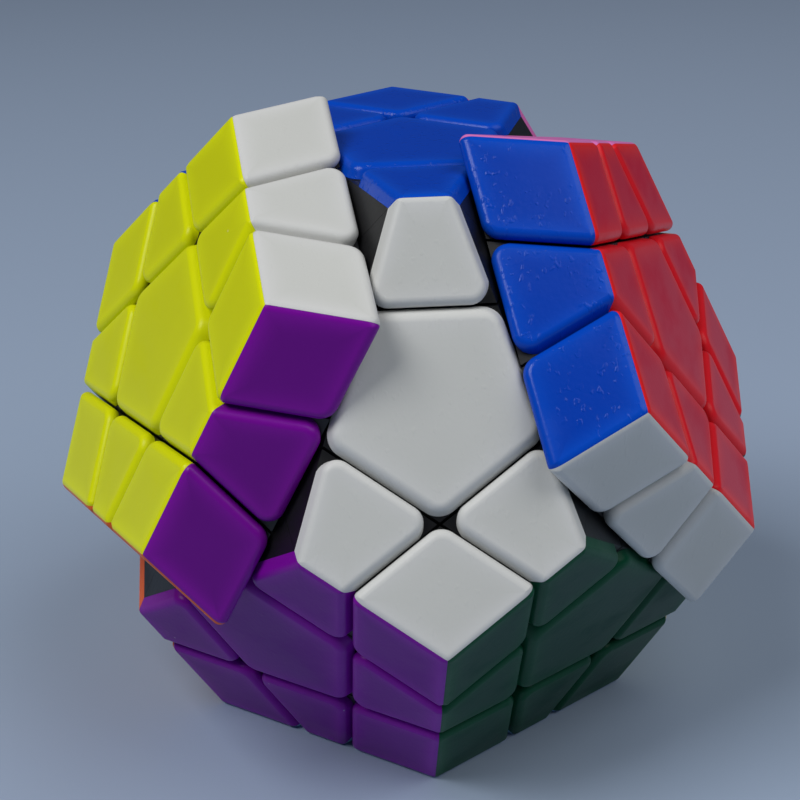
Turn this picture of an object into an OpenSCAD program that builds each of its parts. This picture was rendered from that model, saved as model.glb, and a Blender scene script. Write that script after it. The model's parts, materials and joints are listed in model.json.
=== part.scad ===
// Dodecahedron twisty puzzle: a black mechanism of centres, edges and corners
// round a ball core, with thin coloured tiles on every outer face.
// The origin is the middle of the face that it stands on, +Z is up and -Y is the front.

/* [Shape] */
// Length of one edge of the dodecahedron
edge_length = 33; // [30:0.5:38]
// Distance from a side of a face to the cut beside it, as a share of the edge length
cut_share = 0.39; // [0.37:0.001:0.4]
// Gap between pieces that turn past each other
layer_gap = 0.3; // [0.2:0.05:0.4]

/* [Tiles] */
// Thickness of the coloured tiles
tile_thickness = 1.6; // [1.2:0.1:1.8]
// Glue gap between a tile and its neighbour or the black plastic under it
tile_joint = 0.02; // [0.01:0.01:0.05]

/* [Turned layers] */
// Turn of the yellow layer, counter-clockwise seen from outside
yellow_turn = 46.5; // [0:0.1:72]
// Turn of the red layer, counter-clockwise seen from outside
red_turn = 55; // [0:0.1:72]
// Turn of the light blue layer that it stands on
base_turn = 0; // [0:0.1:72]

/* [Mechanism] */
// Radius of the core ball that the feet slide on
core_radius = 15; // [14:0.5:15.5]
// Half angle of the cone that a layer's necks turn in
neck_angle = 43; // [42:0.5:44]
// Half angle of the wider cone that a layer's feet turn in
foot_angle = 50; // [48:0.5:51]
// Radius of the tops of the feet
foot_radius = 19; // [18.5:0.5:20]
// Seam between the two moulded halves of an edge piece
half_seam = 0.04; // [0.02:0.02:0.1]

/* [Screws and springs] */
// Radius of the tension screws
screw_radius = 1.5; // [1.25:0.05:1.6]
// Distance from the centre of the puzzle to the tip of a screw
screw_tip = 7; // [6.5:0.5:9]
// Radius of a screw head
head_radius = 2.8; // [2.6:0.1:3]
// Height of a screw head
head_height = 2; // [1.6:0.1:2.4]
// Width of the cross slots in a screw head
slot_width = 0.7; // [0.5:0.1:0.9]
// Thickness of the washer under a screw head
washer_thickness = 0.6; // [0.4:0.1:0.8]
// Running clearance round a screw
screw_clearance = 0.1; // [0.05:0.01:0.1]
// Radius of the well in a centre hub that holds the spring
well_radius = 4; // [3.8:0.1:4.2]
// Distance from the centre of the puzzle to the floor of a well
well_floor = 20; // [19.5:0.5:21]
// Length of a fitted spring
spring_length = 6; // [5:0.5:7]
// Radius of a spring to the middle of its wire
spring_radius = 2.6; // [2.4:0.1:2.8]
// Radius of the spring wire
wire_radius = 0.25; // [0.2:0.05:0.3]
// Turns in a spring
spring_turns = 3.5; // [3:0.5:4]
// Depth of the round spigot under a centre cap
spigot_depth = 2; // [1:0.5:3]

/* [Hidden] */
$fn = 48;
half_gap = layer_gap / 2;
// Angle between the normals of two faces that share an edge
ring_angle = acos(1 / sqrt(5));
// Distance from the centre to a face, and to the cut plane under it
face_height = edge_length * sqrt((25 + 11 * sqrt(5)) / 40);
cut_height = face_height - cut_share * edge_length * sin(ring_angle);
body_height = face_height - tile_thickness - tile_joint;
reach = 2 * edge_length;
// Angles from the middle line of an edge piece to its own faces and to the faces beside it,
// and from the middle line of a corner piece to its faces
edge_lean = ring_angle / 2;
side_lean = acos(cos(ring_angle) / cos(edge_lean));
corner_lean = acos((1 + 2 * cos(ring_angle)) / sqrt(3 + 6 * cos(ring_angle)));
// Angle that half the gap takes up at the core ball
slack = asin(half_gap / core_radius);
// Where the neck cone of one layer meets its cut plane, as a height up a neighbour's axis
hub_rim = cut_height / cos(neck_angle) * cos(ring_angle - neck_angle);
hub_neck_radius = (core_radius + half_gap) * tan(ring_angle - foot_angle - slack);
edge_foot_width = side_lean - foot_angle - slack;
edge_foot_reach = foot_angle - edge_lean - slack - 0.8;
edge_neck_start = foot_radius + 0.6;
edge_neck_end = cut_height / cos(edge_lean) + 2.5;
corner_foot_width = foot_angle - corner_lean - slack;
corner_foot_top = (foot_radius - half_gap) * cos(corner_foot_width);
corner_stalk_end = cut_height / cos(corner_lean) + 3;
// Turn of a corner's stalk about its middle line, which starts its round faces between ridges
stalk_turn = 20;
spring_start = well_floor + 0.05;
washer_start = spring_start + spring_length + 0.05;
head_start = washer_start + washer_thickness;
wire_sides = 6;
wire_steps_per_turn = 9;
wire_steps = spring_turns * wire_steps_per_turn;

// Each face: name, angle down from +Z, angle round from +X, colour of its plastic
FACES = [
    ["blue", 0, 0, [0.02, 0.20, 0.62]],
    ["white", ring_angle, -90, [0.90, 0.90, 0.88]],
    ["red", ring_angle, -18, [0.70, 0.04, 0.12]],
    ["pink", ring_angle, 54, [0.80, 0.40, 0.76]],
    ["lime", ring_angle, 126, [0.40, 0.80, 0.12]],
    ["yellow", ring_angle, 198, [0.80, 0.82, 0.06]],
    ["purple", 180 - ring_angle, 234, [0.30, 0.07, 0.42]],
    ["green", 180 - ring_angle, 306, [0.01, 0.28, 0.17]],
    ["cream", 180 - ring_angle, 18, [0.93, 0.88, 0.66]],
    ["grey", 180 - ring_angle, 90, [0.45, 0.46, 0.48]],
    ["orange", 180 - ring_angle, 162, [0.93, 0.38, 0.12]],
    ["sky", 180, 0, [0.35, 0.68, 0.92]],
];
YELLOW = 5;
RED = 2;
SKY = 11;
NO_FACE = -1;
// Each group that moves as one: name, the face it turns about, its turn
LAYERS = [
    ["fixed", NO_FACE, 0],
    ["yellow_layer", YELLOW, yellow_turn],
    ["red_layer", RED, red_turn],
    ["base_layer", SKY, base_turn],
];

function toward(polar, azimuth) =
    [sin(polar) * cos(azimuth), sin(polar) * sin(azimuth), cos(polar)];
NORMALS = [for (f = FACES) toward(f[1], f[2])];

function sum(list) = list * [for (v = list) 1];
function beside(i, j) = i != j && NORMALS[i] * NORMALS[j] > 0.4;
function sides_of(i) = [for (j = [0:11]) if (beside(i, j)) j];
function holds(list, x) = len([for (v = list) if (v == x) v]) > 0;

// A piece is the list of the faces that it shows: one, two or three of them
CENTRES = [for (i = [0:11]) [i]];
EDGES = [for (i = [0:10]) for (j = [i + 1:11]) if (beside(i, j)) [i, j]];
CORNERS = [for (e = EDGES) for (k = [0:11]) if (k > e[1] && beside(e[0], k) && beside(e[1], k))
    [e[0], e[1], k]];

// The direction of a piece's middle line, and the faces beside all of its own
function axis_of(piece) =
    let (v = [for (axis = [0:2]) sum([for (i = piece) NORMALS[i][axis]])]) v / norm(v);
function around(piece) =
    [for (j = sides_of(piece[0])) if (!holds(piece, j) && (len(piece) == 1 || beside(piece[1], j))) j];

// The turning face that a piece belongs to, or NO_FACE
function face_turning(piece) =
    let (found = [for (l = LAYERS) if (holds(piece, l[1])) l[1]]) len(found) > 0 ? found[0] : NO_FACE;
function in_layer(pieces, layer) = [for (p = pieces) if (face_turning(p) == layer[1]) p];
function showing(pieces, i) = [for (p = pieces) if (holds(p, i)) p];
function tiles_on(layer, i) = showing(in_layer(concat(EDGES, CORNERS), layer), i);

function hub_node(layer) = layer[1] == NO_FACE ? "fixed_hubs" : str(layer[0], "_hub");
function edge_node(layer) = str(layer[0], "_edges");
function corner_node(layer) = str(layer[0], "_corners");
function cap_node(i) = str(FACES[i][0], "_centre_cap");
function tile_node(layer, i) = str(FACES[i][0], "_tiles_", layer[0]);

// Children drawn round the middle of the puzzle, put where their layer has turned to
module placed(layer) {
    axis = layer[1] == NO_FACE ? [0, 0, 1] : NORMALS[layer[1]];
    translate([0, 0, face_height]) rotate(layer[2], axis) children();
}

// Children drawn about +Z, pointed along a vector
module pointed(v) {
    rotate([0, acos(v[2] / norm(v)), atan2(v[1], v[0])]) children();
}

// Everything beyond a plane at a distance along a vector, or short of it
module beyond(v, height) {
    pointed(v) translate([-reach, -reach, height]) cube(2 * reach);
}
module short_of(v, height) {
    pointed(v) translate([-reach, -reach, height - 2 * reach]) cube(2 * reach);
}

// The plain block of a piece over the cut planes of its faces and short of its neighbours'
module outer_block(piece) {
    intersection_for (i = piece) intersection() {
        beyond(NORMALS[i], cut_height + half_gap);
        short_of(NORMALS[i], body_height);
    }
}

// A cone with its point at the middle of the puzzle, between two heights up its axis
module cone_between(half_angle, low, high) {
    translate([0, 0, low]) cylinder(h = high - low, r1 = low * tan(half_angle), r2 = high * tan(half_angle));
}

// A corner's black plastic: its block, a stalk, and a round foot that the edges hold down
module corner_body(piece) {
    outer_block(piece);
    pointed(axis_of(piece)) rotate(stalk_turn) {
        cone_between(neck_angle - corner_lean - slack, core_radius + 2, corner_stalk_end);
        cone_between(corner_foot_width, core_radius + half_gap, corner_foot_top);
    }
}

// The shell that the edges' feet slide in, between the core ball and the hubs
module foot_shell() {
    difference() {
        sphere(foot_radius - half_gap);
        sphere(core_radius + half_gap);
    }
}

// The four-sided spread of an edge's foot: wide towards its own faces, narrow along the edge
module foot_spread(piece) {
    across = NORMALS[piece[0]] - NORMALS[piece[1]];
    along = cross(axis_of(piece), across);
    intersection_for (side = [-1, 1]) intersection() {
        short_of(side * across / norm(across) * cos(edge_foot_reach)
            - axis_of(piece) * sin(edge_foot_reach), 0);
        short_of(side * along / norm(along) * cos(edge_foot_width)
            - axis_of(piece) * sin(edge_foot_width), 0);
    }
}

// An edge's black plastic: its block cleared by the necks beside it, a neck, a waist and a foot
// that the centre hubs hold down, split in the plane between its two faces
module edge_body(piece) {
    across = NORMALS[piece[0]] - NORMALS[piece[1]];
    difference() {
        union() {
            difference() {
                outer_block(piece);
                for (j = around(piece)) {
                    beyond(NORMALS[j], cut_height - half_gap);
                    pointed(NORMALS[j]) cone_between(neck_angle + slack, 1, cut_height + 1);
                }
            }
            pointed(axis_of(piece)) {
                cone_between(neck_angle - edge_lean - slack, edge_neck_start, edge_neck_end);
                cone_between(edge_foot_width, core_radius + 2, edge_neck_start + 1);
            }
            intersection() {
                foot_shell();
                foot_spread(piece);
            }
        }
        pointed(across) translate([-reach, -reach, -half_seam / 2]) cube([2 * reach, 2 * reach, half_seam]);
    }
}

module core() {
    socket_radius = screw_radius + 0.02;
    color([0.12, 0.12, 0.13]) translate([0, 0, face_height]) difference() {
        sphere(core_radius);
        for (n = NORMALS)
            pointed(n) translate([0, 0, screw_tip - 0.5]) cylinder(h = core_radius, r = socket_radius);
    }
}

module tension_screws() {
    shank = head_start - screw_tip;
    color([0.75, 0.76, 0.78]) translate([0, 0, face_height]) for (n = NORMALS) pointed(n) {
        translate([0, 0, screw_tip]) cylinder(h = shank, r = screw_radius);
        translate([0, 0, head_start]) difference() {
            cylinder(h = head_height, r = head_radius);
            for (turn = [0, 90])
                rotate(turn) translate([-head_radius * 0.7, -slot_width / 2, head_height / 2])
                    cube([head_radius * 1.4, slot_width, head_height]);
        }
    }
}

module spring_washers() {
    color([0.62, 0.63, 0.65]) translate([0, 0, face_height]) for (n = NORMALS)
        pointed(n) translate([0, 0, washer_start]) difference() {
            cylinder(h = washer_thickness, r = head_radius + 0.4);
            translate([0, 0, -1]) cylinder(h = washer_thickness + 2, r = screw_radius + screw_clearance);
        }
}

// One ring of points round the wire for each step along the coil
function wire_ring(step) =
    let (
        turn = 360 * step / wire_steps_per_turn,
        rise = wire_radius + (spring_length - 2 * wire_radius) * step / wire_steps
    )
    [for (s = [0:wire_sides - 1])
        let (
            around = 360 * s / wire_sides,
            out = spring_radius + wire_radius * cos(around)
        )
        [out * cos(turn), out * sin(turn), rise + wire_radius * sin(around)]];

module spring_coil() {
    rings = floor(wire_steps);
    points = [for (step = [0:rings]) each wire_ring(step)];
    skin = [for (step = [0:rings - 1]) for (s = [0:wire_sides - 1])
        let (a = step * wire_sides + s, b = step * wire_sides + (s + 1) % wire_sides)
        [a, a + wire_sides, b + wire_sides, b]];
    start_end = [for (s = [0:wire_sides - 1]) s];
    far_end = [for (s = [wire_sides - 1:-1:0]) rings * wire_sides + s];
    polyhedron(points, concat(skin, [start_end, far_end]), convexity = 6);
}

module tension_springs() {
    color([0.70, 0.71, 0.73]) translate([0, 0, face_height]) for (n = NORMALS)
        pointed(n) translate([0, 0, spring_start]) spring_coil();
}

// A centre hub: a five-sided head, a conical body and a neck, bored for its screw, with a
// well for the spring and the screw head
module hub(piece) {
    n = NORMALS[piece[0]];
    difference() {
        union() {
            intersection() {
                intersection_for (j = around(piece)) short_of(NORMALS[j], cut_height - half_gap);
                beyond(n, hub_rim - 0.2);
                short_of(n, body_height);
            }
            pointed(n) {
                cone_between(ring_angle - neck_angle - slack, foot_radius + half_gap, hub_rim);
                translate([0, 0, core_radius + half_gap])
                    cylinder(h = well_floor - core_radius, r = hub_neck_radius);
            }
        }
        pointed(n) {
            translate([0, 0, core_radius - 1])
                cylinder(h = well_floor - core_radius + 2, r = screw_radius + screw_clearance);
            translate([0, 0, well_floor]) cylinder(h = face_height, r = well_radius);
        }
    }
}

module hubs(layer) {
    color([0.06, 0.06, 0.07]) placed(layer) for (p = in_layer(CENTRES, layer)) hub(p);
}

module edge_bodies(layer) {
    color([0.06, 0.06, 0.07]) placed(layer) for (p = in_layer(EDGES, layer)) edge_body(p);
}

module corner_bodies(layer) {
    color([0.06, 0.06, 0.07]) placed(layer) for (p = in_layer(CORNERS, layer)) corner_body(p);
}

// The tile that a piece shows on one face, mitred against its tiles on the others
module tile(piece, i) {
    intersection_for (j = sides_of(i)) {
        mitre = NORMALS[i] - NORMALS[j];
        intersection() {
            short_of(NORMALS[i], face_height);
            beyond(NORMALS[i], face_height - tile_thickness);
            if (holds(piece, j)) beyond(mitre, tile_joint / 2);
            if (holds(piece, j)) beyond(NORMALS[j], cut_height + half_gap);
            else short_of(NORMALS[j], cut_height - half_gap);
        }
    }
}

module tiles(layer, i) {
    color(FACES[i][3]) placed(layer) for (p = tiles_on(layer, i)) tile(p, i);
}

// A centre cap, with a round spigot that fits in the mouth of the hub's well
module centre_cap(i) {
    layer = [for (l = LAYERS) if (l[1] == face_turning([i])) l][0];
    color(FACES[i][3]) placed(layer) {
        tile([i], i);
        pointed(NORMALS[i]) translate([0, 0, face_height - tile_thickness - spigot_depth])
            cylinder(h = spigot_depth + tile_thickness / 2, r = well_radius - screw_clearance);
    }
}

core();
tension_screws();
spring_washers();
tension_springs();
for (l = LAYERS) {
    hubs(l);
    edge_bodies(l);
    corner_bodies(l);
    for (i = [0:11])
        tiles(l, i);
}
for (i = [0:11])
    centre_cap(i);
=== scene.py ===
"""Dodecahedron twisty puzzle, stood on its light blue face with two layers part-turned.

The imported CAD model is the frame. Its core, screws, springs and black pieces get their
finish here, and every coloured tile is made again with the rounded rim of a moulded tile.
"""
import json
import math

import bmesh
import bpy
import numpy as np
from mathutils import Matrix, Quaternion, Vector


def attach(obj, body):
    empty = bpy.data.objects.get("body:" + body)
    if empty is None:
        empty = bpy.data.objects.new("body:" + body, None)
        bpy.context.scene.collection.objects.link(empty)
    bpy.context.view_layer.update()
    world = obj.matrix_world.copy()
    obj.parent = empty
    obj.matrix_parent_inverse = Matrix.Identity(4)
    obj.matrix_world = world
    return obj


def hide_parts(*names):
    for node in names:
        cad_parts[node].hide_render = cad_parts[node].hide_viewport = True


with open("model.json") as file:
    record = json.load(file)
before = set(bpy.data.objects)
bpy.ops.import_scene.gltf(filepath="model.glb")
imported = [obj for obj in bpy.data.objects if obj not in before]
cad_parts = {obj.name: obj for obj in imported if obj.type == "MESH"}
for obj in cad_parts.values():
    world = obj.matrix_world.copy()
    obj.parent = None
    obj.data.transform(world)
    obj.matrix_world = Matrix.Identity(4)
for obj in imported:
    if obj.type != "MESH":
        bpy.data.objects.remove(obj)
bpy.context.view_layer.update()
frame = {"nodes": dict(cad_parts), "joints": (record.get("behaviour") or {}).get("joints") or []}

# ---------------------------------------------------------------- ball core
# A ball moulded in black plastic, with twelve sockets that the tension screws cut their
# threads into. Nothing of it shows from outside.
drift_scale = 60.0
dust_colour = (0.72, 0.72, 0.70, 1.0)
dust_cover = 0.35
smear_roughness = 0.12
relief_depth = 0.0001


def new_group(name, inputs, outputs):
    """A shader node group that takes a vector and named floats, given as (name, value), and
    puts out named floats."""
    group = bpy.data.node_groups.new(name, "ShaderNodeTree")
    group.interface.new_socket("Vector", in_out="INPUT", socket_type="NodeSocketVector")
    for label, value in inputs:
        socket = group.interface.new_socket(label, in_out="INPUT", socket_type="NodeSocketFloat")
        socket.default_value = value
    for label in outputs:
        group.interface.new_socket(label, in_out="OUTPUT", socket_type="NodeSocketFloat")
    return group, group.nodes.new("NodeGroupInput").outputs, group.nodes.new("NodeGroupOutput").inputs


def add_node(tree, kind, *feeds, **settings):
    """A node of a kind, with its input sockets fed in order, by sockets or by values."""
    node = tree.nodes.new(kind)
    for name, value in settings.items():
        setattr(node, name, value)
    for socket, feed in zip(node.inputs, feeds):
        if isinstance(feed, bpy.types.NodeSocket):
            tree.links.new(feed, socket)
        elif feed is not None:
            socket.default_value = feed
    return node


def add_noise(tree, vector, scale, detail=2.0):
    """The value of a noise texture on a vector. The scale is a value or a socket."""
    noise = tree.nodes.new("ShaderNodeTexNoise")
    noise.inputs["Detail"].default_value = detail
    tree.links.new(vector, noise.inputs["Vector"])
    if isinstance(scale, bpy.types.NodeSocket):
        tree.links.new(scale, noise.inputs["Scale"])
    else:
        noise.inputs["Scale"].default_value = scale
    return noise.outputs["Fac"]


def add_ramp(tree, value, low, high):
    """A value mapped smoothly from low..high to 0..1."""
    ramp = tree.nodes.new("ShaderNodeMapRange")
    ramp.interpolation_type = "SMOOTHSTEP"
    ramp.inputs["From Min"].default_value = low
    ramp.inputs["From Max"].default_value = high
    tree.links.new(value, ramp.inputs["Value"])
    return ramp.outputs["Result"]


def make_moulded_skin():
    """Group: Height is fine noise times Peel plus broad noise times Waves. Smears is coarse
    noise, stretched from front to back and squeezed up and down, through a smooth step."""
    group, given, put_out = new_group(
        "moulded_skin", [("Peel Scale", 1500.0), ("Peel", 0.4), ("Waves", 0.6)], ["Height", "Smears"])
    fine = add_noise(group, given["Vector"], given["Peel Scale"], 1.5)
    broad = add_noise(group, given["Vector"], 170.0, 1.0)
    peel = add_node(group, "ShaderNodeMath", fine, given["Peel"], operation="MULTIPLY")
    height = add_node(group, "ShaderNodeMath", broad, given["Waves"], peel.outputs[0],
                      operation="MULTIPLY_ADD")
    group.links.new(height.outputs[0], put_out["Height"])
    stretch = add_node(group, "ShaderNodeMapping", given["Vector"])
    stretch.inputs["Scale"].default_value = (1.0, 0.6, 1.6)
    smear = add_noise(group, stretch.outputs["Vector"], 110.0, 4.0)
    group.links.new(add_ramp(group, smear, 0.45, 0.72), put_out["Smears"])
    return group


def make_flecks():
    """Group: Height is 1 on short upright strokes, where a fine noise stretched up and down is
    high. A coarse noise thins them out in patches."""
    group, given, put_out = new_group("mould_flecks", [("Scale", 1500.0)], ["Height"])
    stretch = add_node(group, "ShaderNodeMapping", given["Vector"])
    stretch.inputs["Scale"].default_value = (1.0, 1.0, 0.35)
    fine = add_noise(group, stretch.outputs["Vector"], given["Scale"], 1.0)
    coarse = add_noise(group, given["Vector"], 130.0, 1.0)
    fleck = add_node(group, "ShaderNodeMath", add_ramp(group, fine, 0.60, 0.72),
                     add_ramp(group, coarse, 0.32, 0.52), operation="MULTIPLY")
    group.links.new(fleck.outputs[0], put_out["Height"])
    return group


def make_dust_specks():
    """Group: the cells of a Voronoi texture that a random value of the cell picks, each kept
    only near its seed point, so that they are small round specks."""
    group, given, put_out = new_group(
        "dust_specks", [("Scale", 1100.0), ("Size", 0.16), ("Share", 0.03)], ["Mask"])
    cells = group.nodes.new("ShaderNodeTexVoronoi")
    group.links.new(given["Vector"], cells.inputs["Vector"])
    group.links.new(given["Scale"], cells.inputs["Scale"])
    near = add_node(group, "ShaderNodeMath", cells.outputs["Distance"], given["Size"],
                    operation="LESS_THAN")
    chance = add_node(group, "ShaderNodeSeparateColor", cells.outputs["Color"])
    picked = add_node(group, "ShaderNodeMath", chance.outputs[0], given["Share"],
                      operation="LESS_THAN")
    mask = add_node(group, "ShaderNodeMath", near.outputs[0], picked.outputs[0],
                    operation="MULTIPLY")
    group.links.new(mask.outputs[0], put_out["Mask"])
    return group


moulded_skin = make_moulded_skin()
mould_flecks = make_flecks()
dust_specks = make_dust_specks()


def add_group(tree, group, vector, **values):
    """A group in a material, on a vector, with its named inputs set."""
    node = tree.nodes.new("ShaderNodeGroup")
    node.node_tree = group
    tree.links.new(vector, node.inputs["Vector"])
    for name, value in values.items():
        node.inputs[name.replace("_", " ").title()].default_value = value
    return node


def make_plastic(name, colour, shade, roughness, bump=0.3, peel=0.4, dust=0.0012, flecks=0.0,
                 rim_glow_colour=None, shine=0.5):
    """A moulded plastic. Its colour drifts to a shade of it, smears dull its gloss, specks of
    dust lie on it, and the skin and flecks of the mould are its bump. Where the rim glow attribute
    says so, its colour is mixed towards a brighter one: a painted glow of light through the thin rim."""
    material = bpy.data.materials.new(name)
    material.use_nodes = True
    tree = material.node_tree
    shader = tree.nodes["Principled BSDF"]
    shader.inputs["IOR"].default_value = 1.5
    shader.inputs["Specular IOR Level"].default_value = shine
    place = tree.nodes.new("ShaderNodeTexCoord").outputs["Object"]
    skin = add_group(tree, moulded_skin, place, peel=peel)
    specks = add_group(tree, dust_specks, place, share=dust)
    drift = add_node(tree, "ShaderNodeMix", data_type="RGBA")
    drift.inputs["A"].default_value = (*colour, 1.0)
    drift.inputs["B"].default_value = (*shade, 1.0)
    tree.links.new(add_noise(tree, place, drift_scale, 3.0), drift.inputs["Factor"])
    dusty = add_node(tree, "ShaderNodeMix", data_type="RGBA")
    dusty.inputs["B"].default_value = dust_colour
    faint = add_node(tree, "ShaderNodeMath", specks.outputs["Mask"], dust_cover,
                     operation="MULTIPLY")
    tree.links.new(faint.outputs[0], dusty.inputs["Factor"])
    skin_colour = drift.outputs["Result"]
    # Painted glow: near a tile's rim the colour is mixed towards a brighter one, for light coming through
    # the thin plastic
    if rim_glow_colour:
        painted_rim_glow = add_node(tree, "ShaderNodeAttribute", attribute_name="painted_rim_glow")
        painted_glow_mix = add_node(tree, "ShaderNodeMix", data_type="RGBA")
        painted_glow_mix.inputs["B"].default_value = (*rim_glow_colour, 1.0)
        tree.links.new(painted_rim_glow.outputs["Fac"], painted_glow_mix.inputs["Factor"])
        tree.links.new(skin_colour, painted_glow_mix.inputs["A"])
        skin_colour = painted_glow_mix.outputs["Result"]
    tree.links.new(skin_colour, dusty.inputs["A"])
    tree.links.new(dusty.outputs["Result"], shader.inputs["Base Color"])
    gloss = add_node(tree, "ShaderNodeMath", skin.outputs["Smears"], smear_roughness, roughness,
                     operation="MULTIPLY_ADD")
    tree.links.new(gloss.outputs[0], shader.inputs["Roughness"])
    relief = tree.nodes.new("ShaderNodeBump")
    relief.inputs["Strength"].default_value = bump
    relief.inputs["Distance"].default_value = relief_depth
    height = skin.outputs["Height"]
    if flecks:
        raised = add_group(tree, mould_flecks, place)
        height = add_node(tree, "ShaderNodeMath", raised.outputs["Height"], flecks, height,
                          operation="MULTIPLY_ADD").outputs[0]
    tree.links.new(height, relief.inputs["Height"])
    tree.links.new(relief.outputs["Normal"], shader.inputs["Normal"])
    return material


core_plastic = make_plastic("core_plastic", (0.020, 0.020, 0.022), (0.028, 0.028, 0.030), 0.40)
frame["nodes"]["core"].material_slots[0].material = core_plastic

# ---------------------------------------------------------------- screws, washers and springs
# Zinc-plated pan-head screws, plain steel washers and coiled music-wire springs. They set how
# tightly each centre is held, and only show when a centre cap is taken off.


def make_steel(name, colour, roughness, grain):
    """A metal whose roughness varies with a grain of fine noise."""
    material = bpy.data.materials.new(name)
    material.use_nodes = True
    tree = material.node_tree
    shader = tree.nodes["Principled BSDF"]
    shader.inputs["Base Color"].default_value = (*colour, 1.0)
    shader.inputs["Metallic"].default_value = 1.0
    place = tree.nodes.new("ShaderNodeTexCoord").outputs["Object"]
    gloss = add_node(tree, "ShaderNodeMath", add_noise(tree, place, grain), 0.25, roughness,
                     operation="MULTIPLY_ADD")
    tree.links.new(gloss.outputs[0], shader.inputs["Roughness"])
    return material


fittings = {
    "tension_screws": make_steel("screw_steel", (0.62, 0.63, 0.66), 0.18, 900.0),
    "spring_washers": make_steel("washer_steel", (0.50, 0.50, 0.52), 0.28, 1400.0),
    "tension_springs": make_steel("spring_steel", (0.55, 0.55, 0.57), 0.15, 2200.0),
}
for node_name, steel in fittings.items():
    frame["nodes"][node_name].material_slots[0].material = steel

# ---------------------------------------------------------------- hubs, edge pieces and corner pieces
# The pieces under the tiles are moulded in black plastic, and slide on each other as a layer
# turns. Their skin has a finer grain than the tiles' and is rougher, more so in smears.
black_plastic = make_plastic("black_plastic", (0.004, 0.004, 0.005), (0.006, 0.006, 0.007), 0.38,
                             bump=0.2, peel=0.8)
for node_name, node_object in frame["nodes"].items():
    if node_name.endswith(("_hub", "_hubs", "_edges", "_corners")):
        node_object.material_slots[0].material = black_plastic

# ---------------------------------------------------------------- centre caps
# Each face has eleven thin tiles. The middle one is a five-sided cap, with walls that follow
# the gaps round it and a rim that is rounded over. A spigot under it fits in its hub's well.
ring_angle = math.acos(1.0 / math.sqrt(5.0))
puzzle_centre = np.array(frame["joints"][0]["pos_m"])
face_height = puzzle_centre[2]
edge_length = face_height / math.sqrt((25.0 + 11.0 * math.sqrt(5.0)) / 40.0)
cut_share = 0.39
cut_height = face_height - cut_share * edge_length * math.sin(ring_angle)
half_gap = 0.00015
tile_thickness = 0.0016
mitre_slope = (1.0 - math.cos(ring_angle)) / math.sin(ring_angle)
mitre_gap = 0.00001
cap_rim_radius = 0.0012
cap_corner_radius = 0.0011
seam_rim_radius = 0.0013
spigot_radius = 0.0039
spigot_depth = 0.0020
corner_steps = 11
rim_steps = 8
# The painted glow of light through the thin rim fades over the flat top, to nothing at twice glow_depth
# in from the rim; a gap side takes gap_glow of what a seam side takes
glow_depth = 0.0018
gap_glow = 0.7
# Rings on the flat top, by how far they lie in from the start of the rim: the middle, then four
# that carry the painted glow, then one close to the rim that keeps the flat top flat
top_insets = (math.inf, 2.0 * glow_depth, 1.4 * glow_depth, glow_depth, 0.6 * glow_depth, 0.00005)
# Where a ring on the wall keeps the rim round, as a share of the way down it
wall_support = 0.08
weld_distance = 0.000001
sharp_angle = math.radians(40.0)

# Each face: how far its normal leans from straight up, how far that is turned from +X, then its
# plastic: the colour, the painted glow colour of its rim where light comes through, how rough and how
# flecked
faces = {
    "blue": (0.0, 0.0, (0.001, 0.052, 0.48), (0.002, 0.075, 0.58), 0.20, 1.5),
    "white": (ring_angle, math.radians(-90.0), (0.67, 0.675, 0.64), (0.70, 0.70, 0.68), 0.34, 0.4),
    "red": (ring_angle, math.radians(-18.0), (0.68, 0.007, 0.042), (0.92, 0.018, 0.020), 0.32, 0.2),
    "pink": (ring_angle, math.radians(54.0), (0.70, 0.15, 0.50), (0.80, 0.21, 0.56), 0.32, 0.2),
    "lime": (ring_angle, math.radians(126.0), (0.20, 0.58, 0.02), (0.26, 0.68, 0.02), 0.32, 0.2),
    "yellow": (ring_angle, math.radians(198.0), (0.78, 0.81, 0.002), (0.84, 0.88, 0.002), 0.32, 0.2),
    "purple": (math.pi - ring_angle, math.radians(234.0), (0.16, 0.004, 0.27), (0.23, 0.005, 0.36),
               0.30, 0.2),
    "green": (math.pi - ring_angle, math.radians(306.0), (0.001, 0.052, 0.028), (0.002, 0.075, 0.030),
              0.32, 0.2),
    "cream": (math.pi - ring_angle, math.radians(18.0), (0.80, 0.70, 0.38), (0.84, 0.74, 0.41),
              0.32, 0.2),
    "grey": (math.pi - ring_angle, math.radians(90.0), (0.20, 0.20, 0.22), (0.24, 0.24, 0.26),
             0.32, 0.2),
    "orange": (math.pi - ring_angle, math.radians(162.0), (0.78, 0.11, 0.02), (0.86, 0.14, 0.02),
               0.32, 0.2),
    "sky": (math.pi, 0.0, (0.28, 0.50, 0.75), (0.32, 0.55, 0.80), 0.30, 0.4),
}
normals = {
    face: np.array([math.sin(lean) * math.cos(turn), math.sin(lean) * math.sin(turn), math.cos(lean)])
    for face, (lean, turn, *_) in faces.items()
}
layers = {
    "yellow_layer": ("yellow", math.radians(46.5)),
    "red_layer": ("red", math.radians(55.0)),
    "base_layer": ("sky", 0.0),
}
tile_plastics = {
    face: make_plastic(f"{face}_plastic", colour, tuple(0.9 * part for part in colour), roughness,
                       flecks=flecks, rim_glow_colour=rim_glow_colour, shine=0.18)
    for face, (_, _, colour, rim_glow_colour, roughness, flecks) in faces.items()
}


def beside(face, other):
    """Whether two faces share an edge of the dodecahedron."""
    return math.isclose(normals[face] @ normals[other], math.cos(ring_angle), abs_tol=0.000001)


def layer_of(piece):
    """The layer that a piece, given as a tuple of its faces, turns with."""
    for layer, (face, _) in layers.items():
        if face in piece:
            return layer
    return "fixed"


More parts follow.
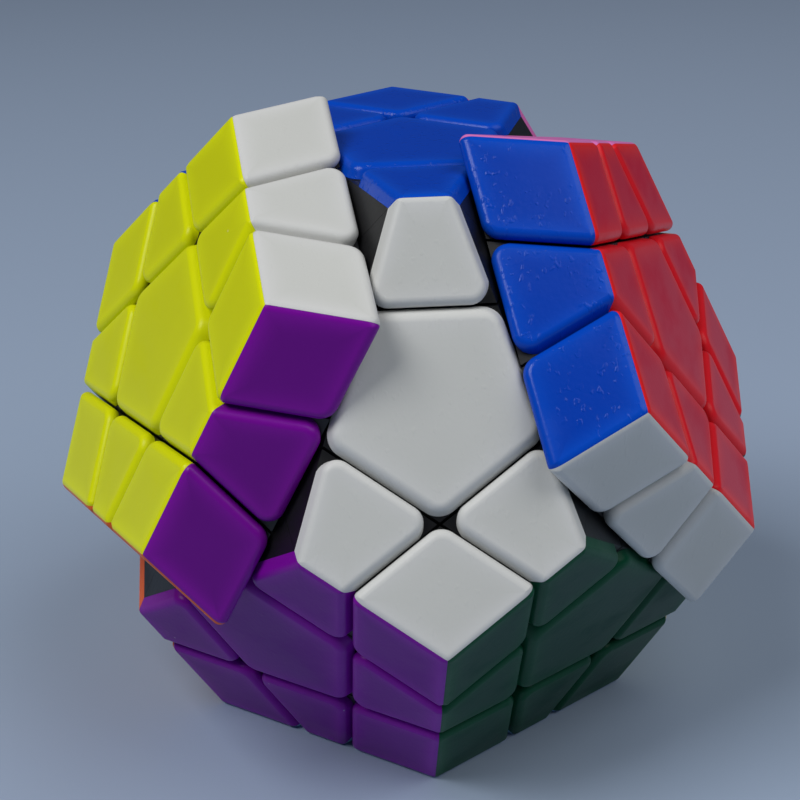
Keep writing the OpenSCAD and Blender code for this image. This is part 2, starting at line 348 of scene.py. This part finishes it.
def tile_sides(piece, face):
    """The sides of a piece's tile on a face, in order round it: (direction in the plane of the
    face, distance from its middle at the surface, slope, whether it is a seam).

    The distance grows by the slope for each unit up. A cut plane slopes by -1/2 for a tile
    inside it and +1/2 for a tile beyond it, and a mitre by (1 - cos a) / sin a.
    """
    normal = normals[face]
    sine, cosine = math.sin(ring_angle), math.cos(ring_angle)
    cut = (cut_height - cosine * face_height) / sine
    gap = half_gap / sine
    sides = []
    for other in (name for name in faces if beside(face, name)):
        toward = (normals[other] - cosine * normal) / sine
        if other in piece:
            sides.append((toward, face_height * mitre_slope - mitre_gap, mitre_slope, True))
            sides.append((-toward, -cut - gap, cosine / sine, False))
        elif all(beside(own, other) for own in piece):
            sides.append((toward, cut - gap, -cosine / sine, False))
    across = sides[0][0]
    along = np.cross(normal, across)
    sides.sort(key=lambda side: math.atan2(side[0] @ along, side[0] @ across))
    return sides, across, along


def crossing(first, second, first_distance, second_distance):
    """The point whose distances along two directions in a plane are given."""
    return np.linalg.solve(np.array([first, second]), np.array([first_distance, second_distance]))


def blend(start, end, share):
    """Points on the straight line from one point to another, one for each share of it."""
    return start + (end - start) * share[:, None]


def rounded_tile(piece, face, rim_radius, corner_radius, spigot=False):
    """The rings of points of one tile, from the middle of its top to the middle of its underside,
    and how much painted glow each takes as part of a thin rim, from 0 to 1.

    A ball rolls round under the top, with the rim's radius at a gap and the seam's at a seam, and
    changes smoothly between them at a corner. Between two gaps its centre goes round an arc of the
    corner's radius, and along a seam it stays on the mitre plane. At an angle f from straight up,
    the skin is at the ball's centre + radius * (sin f outwards, cos f up). f ends where the wall
    touches the ball or, by a seam, on the mitre plane, where tan f = slope of the mitre / cos of
    the angle round from the seam's direction. Below that the wall goes straight to the underside.
    """
    sides, across, along = tile_sides(piece, face)
    flat = [np.array([side[0] @ across, side[0] @ along]) for side in sides]
    radii = [seam_rim_radius if side[3] else rim_radius for side in sides]
    wall_ends = [math.atan2(1.0, -side[2]) for side in sides]
    floor_lines = [side[1] - side[2] * tile_thickness for side in sides]
    bottom_height = face_height - tile_thickness
    share = np.linspace(0.0, 1.0, corner_steps)
    smooth = share * share * (3.0 - 2.0 * share)

    def ball_line(side, radius):
        """The distance of the ball's centre from the middle of the face, towards a side."""
        lean = 0.0 if side[3] else math.hypot(1.0, side[2])
        return side[1] - radius * (side[2] + lean)

    columns = {name: [] for name in ("ball", "out", "radius", "arc", "end", "floor", "seam")}
    for k, side in enumerate(sides):
        n = (k + 1) % len(sides)
        seams = side[3], sides[n][3]
        arc = 0.0 if any(seams) else corner_radius
        turn = math.acos(flat[k] @ flat[n])
        angle = math.atan2(flat[k][1], flat[k][0]) + share * turn
        out = np.stack([np.cos(angle), np.sin(angle)], 1)
        radius = radii[k] + (radii[n] - radii[k]) * smooth
        centres = [crossing(flat[k], flat[n], ball_line(side, size) - arc,
                            ball_line(sides[n], size) - arc) for size in (radii[k], radii[n])]
        ball = blend(centres[0], centres[1], smooth)
        corner = crossing(flat[k], flat[n], floor_lines[k], floor_lines[n])
        feet = [centre + (floor_lines[m] - flat[m] @ centre) * flat[m]
                for m, centre in zip((k, n), centres)]
        from_seam = np.arctan2(mitre_slope, np.cos(share * turn))
        to_seam = from_seam[::-1]
        if all(seams):
            end = np.minimum(from_seam, to_seam)
            floor = np.where((share < 0.5)[:, None], blend(feet[0], corner, 2.0 * share),
                             blend(corner, feet[1], 2.0 * share - 1.0))
        elif seams[0]:
            end = from_seam
            floor = blend(feet[0], corner, share)
        elif seams[1]:
            end = to_seam
            floor = blend(corner, feet[1], share)
        else:
            end = wall_ends[k] + (wall_ends[n] - wall_ends[k]) * share
            drop = tile_thickness - radius * (1.0 - np.cos(end))
            floor = ball + (arc + radius * np.sin(end) + drop / np.tan(end))[:, None] * out
        near_seam = seams[0] + (seams[1] - seams[0]) * smooth
        values = ball, out, radius, np.full(corner_steps, arc), end, floor, near_seam
        for name, value in zip(columns, values):
            columns[name].append(value)
    ball, out, radius, arc, end, floor, near_seam = (np.concatenate(c) for c in columns.values())

    def ring(plan, height):
        """A ring of points from their places in the plane and their height over the centre."""
        return np.column_stack([plan, np.broadcast_to(height, len(plan))])

    top_edge = ball + arc[:, None] * out
    middle = top_edge.mean(0)
    inward = np.linalg.norm(top_edge - middle, axis=1)[:, None]
    rings, glow = [], []
    for inset in top_insets:
        kept = np.maximum(1.0 - inset / inward, 0.0)
        rings.append(ring(middle + kept * (top_edge - middle), face_height))
        glow.append(max(0.0, 1.0 - inset / (2.0 * glow_depth)) * np.ones(len(out)))
    for part in np.linspace(0.0, 1.0, rim_steps):
        lean = part * end
        plan = ball + (arc + radius * np.sin(lean))[:, None] * out
        rings.append(ring(plan, face_height - radius * (1.0 - np.cos(lean))))
        glow.append(np.ones(len(out)))
    underside = ring(floor, bottom_height)
    rings.append(rings[-1] + wall_support * (underside - rings[-1]))
    rings.append(underside)
    if spigot:
        outward = (floor - middle) / np.linalg.norm(floor - middle, axis=1)[:, None]
        rings.append(ring(middle + spigot_radius * outward, bottom_height))
        bottom_height -= spigot_depth
        rings.append(ring(middle + spigot_radius * outward, bottom_height))
    rings.append(ring(np.tile(middle, (len(floor), 1)), bottom_height))
    glow += [np.ones(len(out))] * (len(rings) - len(glow))
    glow = np.stack(glow) ** 2 * (gap_glow + (1.0 - gap_glow) * near_seam)
    return np.stack(rings) @ np.stack([across, along, normals[face]]), glow


def turned(points, layer):
    """Points round the middle of the puzzle turned with their layer, by Rodrigues' formula, and
    put in their place."""
    if layer != "fixed":
        face, angle = layers[layer]
        axis = normals[face]
        points = (points * math.cos(angle) + np.cross(axis, points) * math.sin(angle)
                  + (points @ axis)[..., None] * axis * (1.0 - math.cos(angle)))
    return points + puzzle_centre


def make_tiles(name, shapes, layer, material):
    """One mesh of tiles, turned with their layer. Each grid of rings becomes quads between a ring
    and the next, and the points that fall together at its middles and corners are merged."""
    points, quads, start = [], [], 0
    for grid, _ in shapes:
        count, around = grid.shape[:2]
        index = start + np.arange(count * around).reshape(count, around)
        ahead = np.roll(index, -1, axis=1)
        quads.append(np.stack([index[:-1], index[1:], ahead[1:], ahead[:-1]], -1).reshape(-1, 4))
        points.append(turned(grid, layer).reshape(-1, 3))
        start += count * around
    mesh = bpy.data.meshes.new(name)
    mesh.from_pydata(np.concatenate(points), [], np.concatenate(quads))
    # Each point's share of the painted rim glow, an attribute that the tile plastics read
    painted_rim_glow = mesh.attributes.new("painted_rim_glow", "FLOAT", "POINT")
    painted_rim_glow.data.foreach_set("value", np.concatenate([glow.ravel() for _, glow in shapes]))
    shell = bmesh.new()
    shell.from_mesh(mesh)
    bmesh.ops.remove_doubles(shell, verts=shell.verts, dist=weld_distance)
    shell.to_mesh(mesh)
    shell.free()
    mesh.shade_smooth()
    mesh.set_sharp_from_angle(angle=sharp_angle)
    mesh.materials.append(material)
    piece = bpy.data.objects.new(name, mesh)
    bpy.context.scene.collection.objects.link(piece)
    return piece


def body_of_layer(layer):
    """The CAD body of a layer."""
    return "core_body" if layer == "fixed" else layer


for face in faces:
    layer = layer_of((face,))
    shape = rounded_tile((face,), face, cap_rim_radius, cap_corner_radius, spigot=True)
    cap = make_tiles(f"{face}_cap", [shape], layer, tile_plastics[face])
    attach(cap, body_of_layer(layer))
    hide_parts(f"{face}_centre_cap")

# ---------------------------------------------------------------- edge tiles and corner tiles
# Five four-sided tiles and five rhombic tiles go round each cap, glued to the black pieces.
# Where the tiles of one piece meet, they are mitred and rounded over together as one edge.
tile_rim_radius = 0.0010
edge_tile_corner_radius = 0.0009
corner_tile_corner_radius = 0.0013

edge_pieces = [(i, j) for i in faces for j in faces if beside(i, j)]
corner_pieces = [(i, j, k) for i, j in edge_pieces for k in faces
                 if beside(i, k) and beside(j, k) and normals[i] @ np.cross(normals[j], normals[k]) > 0.0]

for face in faces:
    for layer in ("fixed", *layers):
        shapes = []
        for piece in edge_pieces:
            if piece[0] == face and layer_of(piece) == layer:
                shapes.append(rounded_tile(piece, face, tile_rim_radius, edge_tile_corner_radius))
        for piece in corner_pieces:
            if piece[0] == face and layer_of(piece) == layer:
                shapes.append(rounded_tile(piece, face, tile_rim_radius, corner_tile_corner_radius))
        if shapes:
            tiles = make_tiles(f"{face}_tiles_of_{layer}", shapes, layer, tile_plastics[face])
            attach(tiles, body_of_layer(layer))
            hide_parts(f"{face}_tiles_{layer}")

# ---------------------------------------------------------------- table, lights and camera
# A plain pale blue table top, a soft light high on the left, a larger and weaker one on the
# right and a dim room. The camera has a long lens, is 22 cm away and looks a little down.
table_half = 3.0
table_colour = (0.36, 0.45, 0.60, 1.0)
table_roughness = 0.7
room_colour = (0.60, 0.75, 1.0, 1.0)
room_strength = 0.06
camera_azimuth = math.radians(-94.31)
camera_elevation = math.radians(24.59)
camera_distance = 0.2220
camera_roll = math.radians(-1.1)
camera_lens = 76.85
camera_aim_shift = Vector((-0.00152, 0.00095, 0.00189))

table_mesh = bpy.data.meshes.new("table_top")
table_mesh.from_pydata(
    [(-table_half, -table_half, 0.0), (table_half, -table_half, 0.0),
     (table_half, table_half, 0.0), (-table_half, table_half, 0.0)], [], [(0, 1, 2, 3)])
table = bpy.data.objects.new("table_top", table_mesh)
bpy.context.scene.collection.objects.link(table)
table_paint = bpy.data.materials.new("table_paint")
table_paint.use_nodes = True
table_shader = table_paint.node_tree.nodes["Principled BSDF"]
table_shader.inputs["Base Color"].default_value = table_colour
table_shader.inputs["Roughness"].default_value = table_roughness
table_mesh.materials.append(table_paint)

room = bpy.data.worlds.new("room")
room.use_nodes = True
room_light = room.node_tree.nodes["Background"]
room_light.inputs["Color"].default_value = room_colour
room_light.inputs["Strength"].default_value = room_strength
bpy.context.scene.world = room
bpy.context.scene.view_settings.view_transform = "Standard"


def add_soft_light(name, place, size, power):
    """A square area light at a place, aimed at the middle of the puzzle."""
    data = bpy.data.lights.new(name, "AREA")
    data.size = size
    data.energy = power
    light = bpy.data.objects.new(name, data)
    light.location = place
    light.rotation_euler = (Vector(puzzle_centre) - Vector(place)).to_track_quat("-Z", "Y").to_euler()
    bpy.context.scene.collection.objects.link(light)


add_soft_light("left_light", (-0.47, -0.24, 0.78), 0.45, 4.8)
add_soft_light("right_light", (0.47, -0.24, 0.78), 0.75, 3.6)

camera_data = bpy.data.cameras.new("view_camera")
camera_data.lens = camera_lens
camera_data.sensor_width = 36.0
camera_data.clip_start = 0.01
camera = bpy.data.objects.new("view_camera", camera_data)
bpy.context.scene.collection.objects.link(camera)
camera_aim = Vector(puzzle_centre) + camera_aim_shift
camera_side = Vector((
    math.cos(camera_elevation) * math.cos(camera_azimuth),
    math.cos(camera_elevation) * math.sin(camera_azimuth),
    math.sin(camera_elevation),
))
camera.location = Vector(puzzle_centre) + camera_distance * camera_side
camera_view = (camera_aim - camera.location).to_track_quat("-Z", "Y")
camera.rotation_mode = "QUATERNION"
camera.rotation_quaternion = camera_view @ Quaternion((0.0, 0.0, 1.0), camera_roll)
bpy.context.scene.camera = camera
